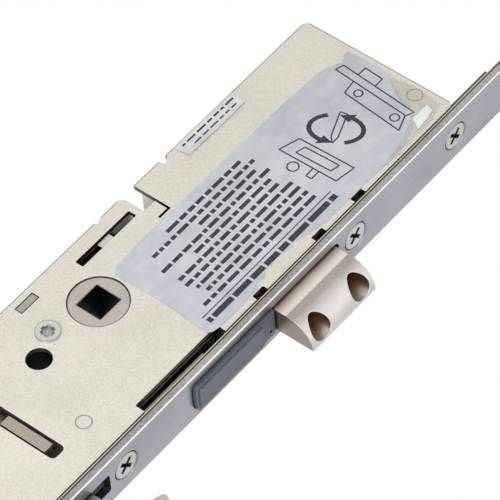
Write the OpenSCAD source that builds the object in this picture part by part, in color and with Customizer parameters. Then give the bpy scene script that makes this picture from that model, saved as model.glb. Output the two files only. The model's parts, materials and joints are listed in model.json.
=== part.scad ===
/* [Faceplate] */
// Width of the faceplate
faceplate_w = 16; // [16:0.5:20]
// Thickness of the faceplate
faceplate_t = 2.5; // [2:0.1:3]
// Distance between the door screws, half above the spindle and half below
door_screw_pitch = 280; // [280:1:320]
// Faceplate length past the upper door screw
faceplate_over = 6; // [5:0.5:20]
// Faceplate length past the lower door screw
faceplate_under = 7; // [5:0.5:20]
// Chamfer along the front edges of the faceplate
faceplate_chamfer = 0.6; // [0.2:0.1:1]
// Drop of the top case screw below the case's upper end
top_screw_in = 3.5; // [3.5:0.1:6]
// Heights of the middle screws that hold the case
middle_screw_heights = [59.7, -31];
// Drop of the lowest case screw below the cylinder
low_screw_drop = 8; // [8:0.1:9]
// Hole for a door screw
door_screw_hole_d = 4.5; // [4:0.1:5]
// Head of a door screw
door_screw_head_d = 8.6; // [8:0.1:10]
// Height of the cylinder fixing screw below the cylinder
cylinder_screw_drop = 20; // [18:0.5:21]
// Hole for the cylinder fixing screw
cylinder_screw_hole_d = 5.4; // [5:0.1:6]

/* [Case] */
// Thickness of the case over both plates
case_t = 15; // [15:0.1:16]
// Thickness of a case plate
plate_t = 1.5; // [1.2:0.1:1.6]
// Case height above the spindle
case_up = 105; // [104:0.5:115]
// Case depth behind the spindle
case_behind = 17.5; // [17.5:0.1:22]
// Case height below the cylinder
case_below_cylinder = 32; // [31:0.5:40]
// Gap between the faceplate and the case plates
case_gap = 0.7; // [0.4:0.1:1]
// Distance from the plate edge to the wall
wall_inset = 2.3; // [1.5:0.1:2.5]
// Thickness of the walls
wall_t = 2; // [1.5:0.1:2]
// Corner radius of the case plates
case_corner_r = 2; // [1:0.1:3]
// Bottom of the notch in the back edge
notch_z = 29.4; // [29:0.1:31]
// Height of the notch
notch_h = 5; // [4:0.1:6]
// Depth of the notch
notch_depth = 7.7; // [6:0.1:8]
// Width of the slit beside the notch
slit_w = 0.7; // [0.5:0.1:1]
// Length of the slit beside the notch
slit_l = 4.8; // [3:0.1:6]
// Heights of the nicks in the back edge, with their depths
nicks = [[44.5, 1.8], [18.6, 0.8]];
// Length of a wall tab
tab_l = 6.2; // [5:0.1:8]
// Heights of the wall tabs
tab_heights = [-11.2, 62, -96];
// Gap round a wall tab in its slot
tab_gap = 0.3; // [0.1:0.05:0.4]
// Cut at the front corners of the case plates
front_corner = 1.2; // [0.5:0.1:2]
// Height of the long slot's middle
long_slot_z = 16.7; // [16:0.1:17]
// Length of the long slot
long_slot_l = 21; // [20:0.5:21]
// Width of the long slot
long_slot_w = 2.6; // [2.4:0.1:2.6]
// Heights of the front edge notches, with their lengths and depths
edge_notches = [[-3.85, 31.5, 3], [26.4, 4.3, 1.6], [50, 4.2, 1.6], [66, 4.4, 1.6]];

/* [Spindle and cylinder] */
// Backset from the faceplate front to the spindle
backset = 35; // [35:0.5:45]
// Square of the spindle
spindle_square = 8; // [7:0.1:9]
// Diameter of the followers
follower_d = 16; // [15:0.1:16]
// Depth of the followers below the plates
follower_sink = 0.3; // [0.1:0.1:0.6]
// Distance from the spindle to the cylinder
cylinder_pitch = 92; // [92:0.5:95]
// Barrel of the cylinder cut-out
cylinder_d = 17.2; // [17:0.1:17.6]
// Width of the cylinder cut-out's foot
cylinder_foot_w = 10.3; // [10:0.1:10.6]
// Height of the cylinder cut-out
cylinder_h = 33.2; // [33:0.1:33.6]
// Bore for the handle bolt
handle_bolt_d = 7; // [6:0.1:8]
// Drop of the handle bolt below the spindle
handle_bolt_drop = 22.8; // [21.5:0.1:23]
// Wall of the handle bolt's bush
bush_wall = 0.9; // [0.6:0.1:1]

/* [Gears] */
// Module of the teeth
gear_module = 1.2; // [1.2:0.01:1.22]
// Pressure angle of the teeth
pressure_angle = 25; // [24:0.5:26]
// Tooth height above the pitch line, in modules
tooth_above = 0.75; // [0.6:0.05:0.75]
// Tooth depth below the pitch line, in modules
tooth_below = 0.95; // [0.9:0.05:1]
// Backlash along the pitch line
backlash = 0.36; // [0.3:0.02:0.5]
// Teeth of the full drive circle on the near follower
drive_teeth = 34; // [34:1:35]
// Teeth of the full return circle on the near follower
return_teeth = 16; // [16:1:16]
// Teeth of the full latch circle on the far follower
latch_teeth = 30; // [29:1:30]
// Teeth of the idler
idler_teeth = 9; // [9:1:9]
// Teeth of the full circle on the hook
hook_teeth = 14; // [14:1:14]
// Travel of the drive slide
drive_stroke = 14; // [12:0.5:14]

/* [Slides] */
// Thickness of the drive slide
slide_t = 1.4; // [1.2:0.1:1.4]
// Thickness of the gears
gear_t = 1.6; // [1.4:0.1:1.6]
// Play between sliding layers
layer_gap = 0.2; // [0.15:0.01:0.25]
// Width of the drive slide's strip
strip_w = 4.8; // [4.4:0.1:5]
// Length of the drive slide above the second case screw
strip_over = 11.3; // [11:0.1:13]
// Length of the drive slide below the lowest case screw
strip_under = 12; // [11:0.5:14]
// Thickness of the drive rails
rail_t = 2; // [1.5:0.1:2.2]
// Gap between the faceplate and the rails
rail_gap = 0.7; // [0.5:0.1:0.8]
// Gap between the rails and the drive slide
strip_gap = 0.6; // [0.4:0.1:0.6]
// Far edge of the rails from the middle plane
rail_far = 5; // [4.6:0.1:5.5]
// Distance from the upper door screw to the upper rail
upper_rail_stop = 19; // [18:0.5:22]
// Upper end of the lower rail
lower_rail_top = 4.7; // [2:0.1:8]
// Distance from the lower door screw to the lower rail
lower_rail_stop = 8; // [6:0.5:9]
// Width of the window in the rails
rail_window_w = 5.8; // [5.4:0.1:6]
// Rivets that join the rails to the slide
rail_rivet_d = 1.6; // [1:0.1:1.8]
// Height of the return slide's lug
lug_z = 16.5; // [16:0.1:17]
// Length of the return slide's lug
lug_l = 4.4; // [3:0.1:5]

/* [Latch] */
// Height of the latch's middle
latch_z = 39; // [38.5:0.1:39.2]
// Length of the latch along the faceplate
latch_l = 25.2; // [24:0.1:25.4]
// Thickness of the latch
latch_w = 8; // [7.6:0.1:8]
// Throw of the latch
latch_throw = 12.6; // [12.2:0.1:13]
// Travel of the latch
latch_stroke = 12; // [10:0.1:12]
// Radius of the latch's ramp
latch_ramp_r = 8; // [8:0.1:9]
// Length of the latch head behind the faceplate front
latch_head_in = 9.4; // [8:0.1:10]
// Bores in the latch head
latch_bore_d = 6.6; // [6:0.1:6.8]
// Distance between the bores
latch_bore_pitch = 15.8; // [15:0.1:17]
// Depth of the bores behind the faceplate front
latch_bore_in = 3.5; // [2:0.1:5]
// Length of the latch screws in the carriage
latch_screw_l = 9; // [6:0.1:10]
// Shank of the latch screws
latch_screw_d = 4; // [3:0.1:4.4]
// Back end of the latch carriage, behind the faceplate front
carriage_in = 30; // [28:0.1:31]
// Play of the latch in its window
window_play = 0.5; // [0.3:0.05:0.7]
// Space above the latch in its window
window_top_play = 1.2; // [0.8:0.1:1.4]

/* [Insert] */
// Lower end of the insert's window
insert_z = -5.6; // [-7:0.1:-4]
// Height of the insert above the faceplate
insert_proud = 1.2; // [0.8:0.1:1.6]
// Height of the panel on the insert
insert_panel = 0.5; // [0.3:0.1:0.8]
// Gap round the insert
insert_gap = 0.25; // [0.15:0.05:0.4]
// Length of the low step next to the latch
insert_step_l = 4.4; // [3:0.1:6]

/* [Hook] */
// Thickness of the hook
hook_t = 4.8; // [4:0.1:4.8]
// Height of the hook's pivot
hook_pivot_z = -52; // [-52.5:0.1:-51.5]
// Sideways distance from the idler to the hook's pivot
hook_pivot_offset = 5.4; // [5.2:0.1:5.6]
// Height of the hook's throat
throat_z = -43.8; // [-44:0.1:-43.4]
// Reach of the hook's nose
hook_reach = 19.5; // [17:0.1:20]
// Height of the nose above the throat
nose_h = 11.1; // [9:0.1:11.5]
// Radius of the hook's hub
hook_hub_r = 7.4; // [6.5:0.1:7.6]
// Diameter of the hook's pivot
hook_pivot_d = 6; // [5:0.1:6.5]
// Upper end of the hook's window
hook_window_top = -37.3; // [-38:0.1:-36.5]
// Lower end of the hook's window
hook_window_bottom = -91.5; // [-92:0.1:-91]
// Width of the hook's window
hook_window_w = 6.4; // [5.8:0.1:7]
// Diameter of the idler's pin
idler_pin_d = 4; // [3:0.1:4.4]
// Running play of a gear on its pin
pin_play = 0.05; // [0.02:0.01:0.08]

/* [Locking bar] */
// Height of the locking bar's middle
lock_z = -42; // [-42.2:0.1:-41.8]
// Height of the lug in the cover's slot
lock_lug_h = 3.2; // [2.8:0.1:3.4]
// Front end of the lug, behind the faceplate front
lock_lug_front = 15.2; // [15:0.1:15.6]
// Length of the lug
lock_lug_l = 14.5; // [12:0.1:16]
// Height of the cross slot
lock_slot_h = 4.7; // [4.2:0.1:5]
// Front end of the cross slot, behind the faceplate front
lock_slot_front = 11.5; // [11:0.1:11.8]
// Length of the cross slot
lock_slot_l = 25; // [22:0.5:28]
// Travel of the locking bar
lock_stroke = 3; // [2:0.1:3.2]

/* [Fasteners] */
// Shank of the faceplate screws
case_screw_d = 4; // [3.5:0.1:4.2]
// Head of the faceplate screws
case_screw_head_d = 8; // [7:0.1:8.4]
// Diameter of the rivet pillars
pillar_d = 4.4; // [4:0.1:4.6]
// Distance from the faceplate front to the rivet pillars
pillar_in = 13.15; // [13.1:0.05:13.6]
// Drop of the upper star recess screw below the spindle
star_drop = 15.2; // [14:0.1:16]
// Distance of the upper star recess screw behind the spindle
star_behind = 3.7; // [3:0.1:4]
// Distance of the lower star recess screw from the back edge
star_from_back = 8; // [7:0.1:9]
// Drop of the lower star recess screw below the cylinder
star_below_cylinder = 16; // [15:0.1:20]
// Head of the star recess screws
star_head_d = 6.8; // [6:0.1:7]
// Height of the star recess screw heads
star_head_h = 0.8; // [0.5:0.1:1.2]
// Shank of the star recess screws
star_shank_d = 3; // [2.5:0.1:3.4]
// Posts that take the star recess screws
star_post_d = 7; // [6.4:0.1:7]
// Spigots of the posts in the base
star_spigot_d = 4.8; // [4:0.1:5.4]

/* [Springs] */
// Wire of the latch spring
latch_wire = 0.8; // [0.6:0.05:0.9]
// Outer diameter of the latch spring
latch_spring_d = 5.6; // [5:0.1:5.8]
// Turns of the latch spring
latch_turns = 10; // [8:1:11]
// Wire of the return spring
return_wire = 0.5; // [0.4:0.05:0.5]
// Outer diameter of the return spring
return_spring_d = 2.8; // [2.4:0.1:2.8]
// Turns of the return spring
return_turns = 13; // [8:1:14]
// Length of the return spring
return_spring_l = 24; // [22:0.5:25]

/* [Labels] */
// Thickness of the label films
label_t = 0.12; // [0.1:0.01:0.2]
// Width of the instruction label
label_w = 35.8; // [30:0.1:36]
// Lower end of the instruction label
label_z = 7.6; // [7:0.1:9]
// Distance from the instruction label to the case's upper end
label_below_top = 1.6; // [1:0.1:15]
// Distance from the faceplate front to the label
label_in = 4.8; // [4.4:0.1:6]
// Length of the label's torn upper corners
label_torn = 6.5; // [4:0.1:8]
// Size of the inspection label
sticker_size = [5, 23.6];
// Lower end of the inspection label
sticker_z = 50.1; // [48:0.1:52]
// Distance from the back edge to the inspection label
sticker_in = 0.2; // [0.1:0.1:0.5]

/* [Hidden] */
$fn = 48;
// Overshoot of a cut past a face
cut = 1;
// Clearance between pieces of one body that are pushed together
fit_gap = 0.03;
// Clearance of a moving piece that slides beside a fixed one
slide_gap = 0.3;
// Steps in a rounded corner of an outline
corner_steps = 6;

steel = [0.80, 0.78, 0.70];
stainless = [0.66, 0.66, 0.70];
nickel = [0.72, 0.70, 0.66];
dark_steel = [0.42, 0.40, 0.38];
insert_grey = [0.40, 0.43, 0.47];
film = [0.78, 0.78, 0.84];
white_film = [0.93, 0.93, 0.93];

// Planes across the faceplate, from the front backwards
faceplate_back = -faceplate_t;
faceplate_up = door_screw_pitch / 2 + faceplate_over;
faceplate_down = door_screw_pitch / 2 + faceplate_under;
cylinder_z = -cylinder_pitch;
case_screw_heights = concat(case_up - top_screw_in, middle_screw_heights, cylinder_z - low_screw_drop);
strip_up = case_screw_heights[1] + strip_over;
strip_down = case_screw_heights[3] - strip_under;
upper_rail_end = door_screw_pitch / 2 - upper_rail_stop;
lower_rail_end = -door_screw_pitch / 2 + lower_rail_stop;
case_front = faceplate_back - case_gap;
rail_front = faceplate_back - rail_gap;
rail_back = rail_front - rail_t;
rail_mid = rail_front - rail_t / 2;
rivet_in = 1.3;
strip_front = rail_back - strip_gap;
strip_back = strip_front - strip_w;
block_gap = 0.4;
block_front = rail_back - block_gap;
block_l = 11.4;
block_h = 7;
spindle_x = -backset;
case_back = spindle_x - case_behind;
wall_face = case_back + wall_inset + wall_t;
wall_end = block_front - block_l - 1.5;
notch_wall_inset = 0.3;
notch_wall_t = 1.3;
case_down = cylinder_z - case_below_cylinder;

// Layers through the case, from the cover to the base
half_t = case_t / 2;
inner_y = half_t - plate_t;
slide_near = -inner_y + layer_gap;
slide_far = slide_near + slide_t;
gear_near = slide_far + layer_gap;
gear_far = gear_near + gear_t;
hook_half = hook_t / 2;
rail_near = slide_far;

// Tooth sizes
tooth_pitch = PI * gear_module;
tooth_tip = tooth_above * gear_module;
tooth_root = tooth_below * gear_module;
function pitch_r(teeth) = gear_module * teeth / 2;
drive_r = pitch_r(drive_teeth);
return_r = pitch_r(return_teeth);
latch_r = pitch_r(latch_teeth);
idler_r = pitch_r(idler_teeth);
hook_r = pitch_r(hook_teeth);

// Pitch lines and gear centres
drive_line = spindle_x + drive_r;
return_line = spindle_x - return_r;
rack_body = 2.66;
lower_line = strip_front - rack_body - tooth_root;
hook_pivot_x = lower_line - idler_r - hook_pivot_offset;
idler_x = lower_line - idler_r;
idler_drop = sqrt(pow(idler_r + hook_r, 2) - pow(hook_pivot_offset, 2));
idler_z = hook_pivot_z - idler_drop;
train_angle = atan2(idler_drop, -hook_pivot_offset);
idler_step = 360 / idler_teeth;
idler_lead = ceil(train_angle / idler_step) * idler_step - train_angle;
hook_phase = train_angle + 180 - idler_lead * idler_r / hook_r + 180 / hook_teeth;

follower_r = follower_d / 2;
follower_play = 0.25;
follower_split = 0.15;
square_play = 0.1;
label_round = 0.7;
label_up = case_up - label_below_top;
star_screws = [
    [spindle_x - star_behind, -star_drop],
    [case_back + star_from_back, cylinder_z - star_below_cylinder]
];
latch_low = latch_z - latch_l / 2;
latch_high = latch_z + latch_l / 2;
latch_half = latch_w / 2;
latch_bore_heights = [latch_z - latch_bore_pitch / 2, latch_z + latch_bore_pitch / 2];
insert_half = latch_half + window_play;
carriage_half = latch_half - 0.2;
carriage_margin = 0.6;
pocket_l = 8;
pocket_d = latch_spring_d + 0.6;
tail_near = 1;
tail_l = 18.5;
tail_back = spindle_x - 0.4;
tail_top = 24.5;
latch_rack_z = latch_r;
latch_lead = 1;
latch_phase = 90 - (latch_lead + tooth_pitch / 2) / latch_r * 180 / PI;
rail_lap = 7;
joint_in = 3;
joint_heights = [strip_up - joint_in, -23.5, strip_down + joint_in];
finger_l = 4;
finger_w = 6;
lock_play = 0.4;
lock_rib_h = 4.4;
slide_l = 29;
slide_low = -9;
seat_t = 2;
return_spring_x = wall_face + layer_gap + return_spring_d / 2;
return_spring_y = (slide_near + gear_far) / 2;

// Outline helpers
function unit(v) = v / norm(v);
function turn(a) = a > 180 ? a - 360 : a < -180 ? a + 360 : a;
function corner(before, at, after, r) =
    let (
        u = unit(before - at),
        v = unit(after - at),
        half = acos(u * v) / 2,
        centre = at + unit(u + v) * r / sin(half),
        from = at + u * r / tan(half) - centre,
        to = at + v * r / tan(half) - centre,
        start = atan2(from[1], from[0]),
        sweep = turn(atan2(to[1], to[0]) - start)
    )
    [for (i = [0:corner_steps])
        let (a = start + sweep * i / corner_steps)
        centre + r * [cos(a), sin(a)]];
function rounded(points) =
    let (n = len(points))
    [for (i = [0:n - 1])
        let (
            p = points[i],
            at = [p[0], p[1]],
            b = points[(i + n - 1) % n],
            a = points[(i + 1) % n]
        )
        each p[2] > 0 ? corner([b[0], b[1]], at, [a[0], a[1]], p[2]) : [at]];
function box_points(x0, x1, z0, z1, r) = [[x0, z0, r], [x1, z0, r], [x1, z1, r], [x0, z1, r]];

// Outline in X and Z, carried from one Y to another
module plate(near, far) {
    translate([0, far, 0])
        rotate([90, 0, 0])
            linear_extrude(height = far - near)
                children();
}

// Block between two corners
module block(low, high) {
    translate(low)
        cube(high - low);
}

// Round bar along Y
module bar_y(x, z, d, near, far) {
    translate([x, near, z])
        rotate([-90, 0, 0])
            cylinder(d = d, h = far - near);
}

// Round bar along X on the middle plane, from the back to the front
module bar_x(back, front, z, d) {
    translate([back, 0, z])
        rotate([0, 90, 0])
            cylinder(d = d, h = front - back);
}

// Slot along X or Z with rounded corners
module slot(x0, x1, z0, z1, r) {
    polygon(rounded(box_points(x0, x1, z0, z1, r)));
}

// Involute tooth form
function involute(a) = tan(a) * 180 / PI - a;
function tooth_half(teeth, rho) =
    let (
        r = pitch_r(teeth),
        base = r * cos(pressure_angle),
        at = rho > base ? acos(base / rho) : 0
    )
    90 / teeth - backlash / 4 / r * 180 / PI + involute(pressure_angle) - involute(at);
flank_steps = 4;
function tooth_points(teeth, middle) =
    let (
        r = pitch_r(teeth),
        low = r - tooth_root,
        high = r + tooth_tip
    )
    [for (side = [-1, 1])
        for (i = [0:flank_steps])
            let (
                k = side < 0 ? i : flank_steps - i,
                rho = low + (high - low) * k / flank_steps,
                a = middle + side * tooth_half(teeth, rho)
            )
            rho * [cos(a), sin(a)]];
// Toothed pie from one tooth to another, round the origin
module gear_sector(teeth, phase, first, last) {
    polygon(concat(
        [[0, 0]],
        [for (i = [first:last]) each tooth_points(teeth, phase + i * 360 / teeth)]
    ));
}
// Whole gear round the origin
module gear(teeth, phase) {
    polygon([for (i = [0:teeth - 1]) each tooth_points(teeth, phase + i * 360 / teeth)]);
}
// Rack teeth along the second axis, pointing to the first, with a space at the origin
module rack_teeth(first, last) {
    half = tooth_pitch / 4 - backlash / 4;
    slope = tan(pressure_angle);
    for (i = [first:last])
        translate([0, (i + 0.5) * tooth_pitch])
            polygon([
                [-tooth_root - cut / 2, -half - tooth_root * slope],
                [-tooth_root, -half - tooth_root * slope],
                [tooth_tip, -half + tooth_tip * slope],
                [tooth_tip, half - tooth_tip * slope],
                [-tooth_root, half + tooth_root * slope],
                [-tooth_root - cut / 2, half + tooth_root * slope]
            ]);
}

// Outline of the case plates, drawn in from the edge by a distance
function case_points(inset, notch_inset, r) =
    let (
        back = case_back + inset,
        top = case_up - inset,
        low = case_down + inset,
        shelf = notch_z - notch_inset,
        roof = notch_z + notch_h + notch_inset,
        deep = case_back + notch_depth + notch_inset
    )
    [
        [case_front - front_corner, low, 0], [case_front, low + front_corner, 0],
        [case_front, top - front_corner, 0], [case_front - front_corner, top, 0],
        [back, top, r], [back, roof, 0],
        [deep, roof, 0], [deep, shelf, 0],
        [back, shelf, r], [back, low, r]
    ];
module case_outline(inset, notch_inset, r) {
    polygon(rounded(case_points(inset, notch_inset, r)));
}
module long_slot() {
    back = wall_face + 0.1;
    half = long_slot_l / 2;
    slot(back, back + long_slot_w, long_slot_z - half, long_slot_z + half, 0.4);
}
module cross_slot() {
    half = lock_slot_h / 2;
    slot(-lock_slot_front - lock_slot_l, -lock_slot_front, lock_z - half, lock_z + half, 1.4);
}
module cylinder_cutout() {
    translate([spindle_x, cylinder_z])
        circle(d = cylinder_d);
    foot_r = cylinder_foot_w / 2;
    foot_z = cylinder_z + cylinder_d / 2 - cylinder_h + foot_r;
    translate([spindle_x - foot_r, foot_z])
        square([cylinder_foot_w, cylinder_z - foot_z]);
    translate([spindle_x, foot_z])
        circle(r = foot_r);
}
// Round holes and slots that go through both plates
module shared_holes() {
    translate([spindle_x, 0])
        circle(d = follower_d + 2 * follower_play);
    translate([spindle_x, -handle_bolt_drop])
        circle(d = handle_bolt_d);
    for (z = case_screw_heights)
        translate([-pillar_in, z])
            circle(d = pillar_d + 2 * fit_gap);
    long_slot();
    cross_slot();
    cylinder_cutout();
    wall_slots();
}
// Slots that the wall's tabs are riveted into
module wall_slots() {
    half = tab_l / 2 + tab_gap;
    for (z = tab_heights)
        slot(wall_face - wall_t - tab_gap, wall_face + tab_gap, z - half, z + half, 0);
}
module nick_cuts() {
    for (n = nicks)
        translate([case_back, n[0]])
            polygon([[-cut, -0.6], [n[1], 0.4], [n[1] * 0.3, 2.6], [-cut, 2.6]]);
}
module edge_notch_cuts() {
    for (n = edge_notches)
        slot(case_front - n[2], case_front + cut, n[0] - n[1] / 2, n[0] + n[1] / 2, 0.4);
}

module faceplate() {
    half = faceplate_w / 2;
    ch = faceplate_chamfer;
    color(stainless)
        difference() {
            translate([0, 0, -faceplate_down])
                linear_extrude(height = faceplate_up + faceplate_down)
                    polygon([
                        [faceplate_back, -half], [-ch, -half], [0, -half + ch],
                        [0, half - ch], [-ch, half], [faceplate_back, half]
                    ]);
            faceplate_window(insert_half + insert_gap, insert_z, latch_high + window_top_play, 1.6);
            faceplate_window(hook_window_w / 2, hook_window_bottom, hook_window_top, 0.8);
            for (z = case_screw_heights)
                countersink(z, case_screw_d + 0.2, case_screw_head_d + 1);
            for (z = [-door_screw_pitch / 2, door_screw_pitch / 2])
                countersink(z, door_screw_hole_d, door_screw_head_d);
            countersink(cylinder_z - cylinder_screw_drop, cylinder_screw_hole_d, door_screw_head_d + 0.6);
        }
}
// Rounded window through the faceplate
module faceplate_window(half, low, high, r) {
    translate([faceplate_back - cut, 0, 0])
        rotate([90, 0, 90])
            linear_extrude(height = faceplate_t + 2 * cut)
                slot(-half, half, low, high, r);
}
// Drilled and countersunk hole
module countersink(z, hole, head) {
    depth = (head - hole) / 2;
    bar_x(faceplate_back - cut, cut, z, hole);
    translate([-depth, 0, z])
        rotate([0, 90, 0])
            cylinder(d1 = hole, d2 = head + 2 * cut, h = depth + cut);
}

module case_cover() {
    color(steel)
        plate(-half_t, -inner_y)
            difference() {
                case_outline(0, 0, case_corner_r);
                shared_holes();
                nick_cuts();
                edge_notch_cuts();
                for (p = star_screws)
                    translate(p)
                        circle(d = star_shank_d + 0.3);
                translate([idler_x, idler_z])
                    circle(d = idler_pin_d + 2 * fit_gap);
                cover_slit();
            }
}
// Slit that frees a tongue beside the notch
module cover_slit() {
    left = case_back + notch_depth;
    roof = notch_z + notch_h;
    translate([left - cut, roof - slit_w])
        square([slit_l + cut, slit_w]);
    translate([left + slit_l - slit_w, notch_z + slit_w])
        square([slit_w, notch_h - slit_w]);
}

module case_base() {
    color(steel)
        plate(inner_y, half_t)
            difference() {
                case_outline(0, 0, case_corner_r);
                shared_holes();
                nick_cuts();
                for (p = star_screws)
                    translate(p)
                        circle(d = star_spigot_d + 2 * fit_gap);
            }
}

// Bent strip round the case, tabbed into both plates
module case_wall() {
    color(steel)
        union() {
            plate(-inner_y, inner_y)
                difference() {
                    case_outline(wall_inset, notch_wall_inset, case_corner_r);
                    case_outline(wall_inset + wall_t, notch_wall_inset + notch_wall_t, case_corner_r / 2);
                    translate([wall_end, case_down])
                        square([-wall_end, case_up - case_down]);
                }
            for (z = tab_heights)
                block([wall_face - wall_t, -half_t, z - tab_l / 2], [wall_face, half_t, z + tab_l / 2]);
            spring_seat();
            latch_runner();
        }
}
// Ledge under the return spring
module spring_seat() {
    top = slide_low - return_spring_l;
    block([wall_face - wall_t / 2, slide_near, top - seat_t], [return_line, inner_y, top]);
}
// Rib that the latch carriage slides under
module latch_runner() {
    low = latch_high - carriage_margin + slide_gap;
    front = -latch_head_in - latch_stroke - slide_gap;
    block([wall_face - wall_t / 2, -carriage_half, low], [front, inner_y, low + 2]);
}

// Posts that take the star recess screws, riveted into the base
module star_posts() {
    color(steel)
        for (p = star_screws)
            difference() {
                union() {
                    bar_y(p[0], p[1], star_post_d, -inner_y, inner_y);
                    bar_y(p[0], p[1], star_spigot_d, inner_y, half_t);
                }
                bar_y(p[0], p[1], star_shank_d + 2 * fit_gap, -inner_y - cut, half_t + cut);
            }
}

// Bush that keeps the plates apart round the handle bolt
module handle_bush() {
    color(steel)
        difference() {
            bar_y(spindle_x, -handle_bolt_drop, handle_bolt_d + 2 * bush_wall, -inner_y, inner_y);
            bar_y(spindle_x, -handle_bolt_drop, handle_bolt_d, -inner_y - cut, inner_y + cut);
        }
}

// Threaded blocks with a boss that reaches through the rails to the faceplate
module screw_blocks() {
    color(dark_steel)
        for (z = case_screw_heights)
            difference() {
                union() {
                    block(
                        [block_front - block_l, -hook_half, z - block_h / 2],
                        [block_front, inner_y, z + block_h / 2]
                    );
                    bar_x(block_front - cut, faceplate_back, z, rail_window_w - 1);
                }
                bar_x(-pillar_in, faceplate_back + cut, z, case_screw_d + 2 * fit_gap);
                bar_y(-pillar_in, z, pillar_d + 2 * fit_gap, -hook_half - cut, inner_y + cut);
            }
}

module pillar_rivets() {
    color(steel)
        for (z = case_screw_heights)
            bar_y(-pillar_in, z, pillar_d, -half_t, half_t);
}

// Countersunk screws with a cross recess
module faceplate_screws() {
    sink = 0.25;
    depth = (case_screw_head_d - case_screw_d) / 2;
    shank_l = pillar_in - pillar_d / 2 - faceplate_t - 0.3;
    arm = case_screw_head_d * 0.3;
    arm_w = 1.1;
    color(nickel)
        for (z = case_screw_heights)
            difference() {
                union() {
                    translate([-sink - depth, 0, z])
                        rotate([0, 90, 0])
                            cylinder(d1 = case_screw_d, d2 = case_screw_head_d, h = depth);
                    bar_x(faceplate_back - shank_l, -sink - depth, z, case_screw_d);
                }
                for (a = [0, 90])
                    translate([-sink, 0, z])
                        rotate([a + 45, 0, 0])
                            cube([2.6, 2 * arm, arm_w], center = true);
            }
}

// Pan head screws with a star recess
module case_screws() {
    recess_r = star_head_d * 0.27;
    recess_h = star_head_h * 0.7;
    head_face = -half_t - star_head_h;
    color(nickel)
        for (p = star_screws)
            difference() {
                union() {
                    bar_y(p[0], p[1], star_head_d, head_face, -half_t);
                    bar_y(p[0], p[1], star_shank_d, -half_t, inner_y);
                }
                for (a = [0, 60, 120])
                    translate([p[0], head_face, p[1]])
                        rotate([0, a, 0])
                            cube([2 * recess_r, 2 * recess_h, recess_r * 0.62], center = true);
                bar_y(p[0], p[1], recess_r * 1.5, head_face - cut, head_face + recess_h);
            }
}

// Moulded insert that fills the window below the latch
module latch_insert() {
    half = insert_half;
    low = insert_z + insert_gap;
    high = latch_low - window_play;
    step = high - insert_step_l;
    edge = 0.9;
    flange = 0.4;
    color(insert_grey)
        difference() {
            union() {
                insert_block(half, low, step, 1.4, faceplate_back, insert_proud);
                insert_block(half, step - 2, high, 0.3, faceplate_back, insert_proud - 0.5);
                insert_block(half + 1, low - 1, high - 1, 1, faceplate_back - flange, faceplate_back);
                insert_block(half - edge, low + edge, step - edge, 0.8, 0, insert_proud + insert_panel);
            }
            translate([0, half * 0.55, high - insert_step_l * 0.4])
                rotate([0, 90, 0])
                    cylinder(d = 1.1, h = insert_proud + cut);
        }
}
module insert_block(half, low, high, r, back, front) {
    translate([back, 0, 0])
        rotate([90, 0, 90])
            linear_extrude(height = front - back)
                slot(-half, half, low, high, r);
}

module hook_pivot() {
    color(dark_steel)
        union() {
            bar_y(hook_pivot_x, hook_pivot_z, hook_pivot_d, gear_near, inner_y);
            bar_y(hook_pivot_x, hook_pivot_z, hook_pivot_d + 3, hook_half + layer_gap, inner_y);
        }
}

module idler_pin() {
    color(dark_steel)
        bar_y(idler_x, idler_z, idler_pin_d, -half_t, gear_far);
}

module instruction_label() {
    front = -label_in;
    back = front - label_w;
    color(film)
        plate(-half_t - label_t, -half_t)
            difference() {
                polygon(rounded([
                    [back, label_z, 1.5],
                    [front - label_torn / 4, label_z, 1],
                    [front, label_z + label_torn / 2, 1],
                    [front, label_up - label_torn / 2, 0.6],
                    [front - label_torn / 2, label_up, 0.6],
                    [back + label_torn, label_up, 1.2],
                    [back, label_up - 1.6 * label_torn, 1.2]
                ]));
                translate([spindle_x, 0])
                    circle(r = follower_r + label_round);
            }
}

module inspection_label() {
    color(white_film)
        plate(-half_t - label_t, -half_t)
            translate([case_back + sticker_in, sticker_z])
                square(sticker_size);
}

// Latch bolt with a quarter round ramp and two screw bores
module latch_head() {
    ramp_y = latch_ramp_r - latch_half;
    ramp_x = latch_throw - sqrt(pow(latch_ramp_r, 2) - pow(latch_half - ramp_y, 2));
    color(nickel)
        difference() {
            union() {
                block([-latch_head_in, -latch_half, latch_low], [ramp_x, latch_half, latch_high]);
                intersection() {
                    block(
                        [ramp_x - cut, -latch_half, latch_low],
                        [latch_throw + cut, latch_half, latch_high]
                    );
                    translate([ramp_x, ramp_y, latch_low])
                        cylinder(r = latch_ramp_r, h = latch_l);
                }
            }
            for (z = latch_bore_heights) {
                bar_x(-latch_bore_in, latch_throw + cut, z, latch_bore_d);
                bar_x(-latch_head_in - cut, 0, z, latch_screw_d + 2 * fit_gap);
            }
        }
}

module latch_screws() {
    head_h = 2.4;
    hex_d = 3.4;
    color(dark_steel)
        for (z = latch_bore_heights)
            difference() {
                union() {
                    bar_x(-latch_bore_in, -latch_bore_in + head_h, z, latch_bore_d - 0.6);
                    bar_x(-latch_head_in - latch_screw_l, -latch_bore_in, z, latch_screw_d);
                }
                translate([-latch_bore_in + head_h * 0.3, 0, z])
                    rotate([0, 90, 0])
                        cylinder(d = hex_d, h = head_h, $fn = 6);
            }
}

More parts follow.
